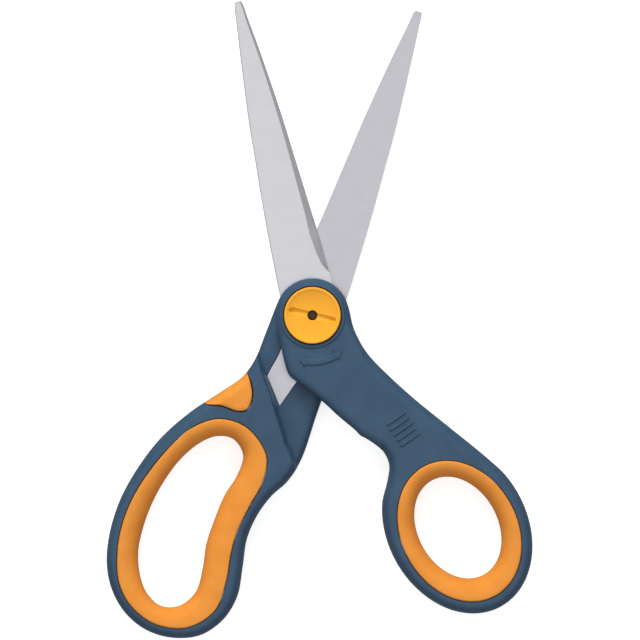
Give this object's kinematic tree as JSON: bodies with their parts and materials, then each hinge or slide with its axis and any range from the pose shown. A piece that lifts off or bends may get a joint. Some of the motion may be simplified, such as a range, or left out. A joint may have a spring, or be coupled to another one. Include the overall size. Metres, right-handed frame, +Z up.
{
  "type": "office scissors",
  "caption": "Office scissors with pointed steel blades, stepped plastic handles, soft-lined thumb and finger loops and a dished knob that sets the pivot's tension.",
  "frame": {"origin": "on the pivot's axis, at the underside of the back cap, which is the level of the surface the scissors lie on", "axes": "+Y along the line midway between the blades, towards the tips; +Z up out of the knob; +X to the thumb ring's side"},
  "size_m": [0.1292, 0.1933, 0.0128],
  "materials": {
    "blade_steel": "fine satin ground steel, a little darker on the ground bevels",
    "handle_plastic": "blue-grey moulded plastic with a fine matt texture",
    "grip_rubber": "soft orange moulded rubber, matt",
    "knob_plastic": "yellow-orange plastic, semi-gloss",
    "pivot_steel": "plain turned and pressed steel"
  },
  "bodies": {
    "finger_member": {"lower_blade": "blade_steel", "finger_handle": "handle_plastic", "finger_loop_grip": "grip_rubber", "finger_rest_pad": "grip_rubber", "pivot_bolt": "pivot_steel", "back_cap": "knob_plastic", "flat_washer": "pivot_steel", "spring_washer": "pivot_steel"},
    "thumb_member": {"upper_blade": "blade_steel", "thumb_handle": "handle_plastic", "thumb_ring_grip": "grip_rubber"},
    "knob": {"tension_knob": "knob_plastic", "adjuster_nut": "pivot_steel"}
  },
  "joints": [
    {"name": "blade_pivot", "type": "hinge", "parent": "finger_member", "child": "thumb_member", "pos_m": [0, 0, 0.006], "axis": [0, 0, 1], "range_deg": [-32, 60]},
    {"name": "knob_turn", "type": "hinge", "parent": "finger_member", "child": "knob", "pos_m": [0, 0, 0.011], "axis": [0, 0, 1], "range_deg": [-90, 90]}
  ]
}
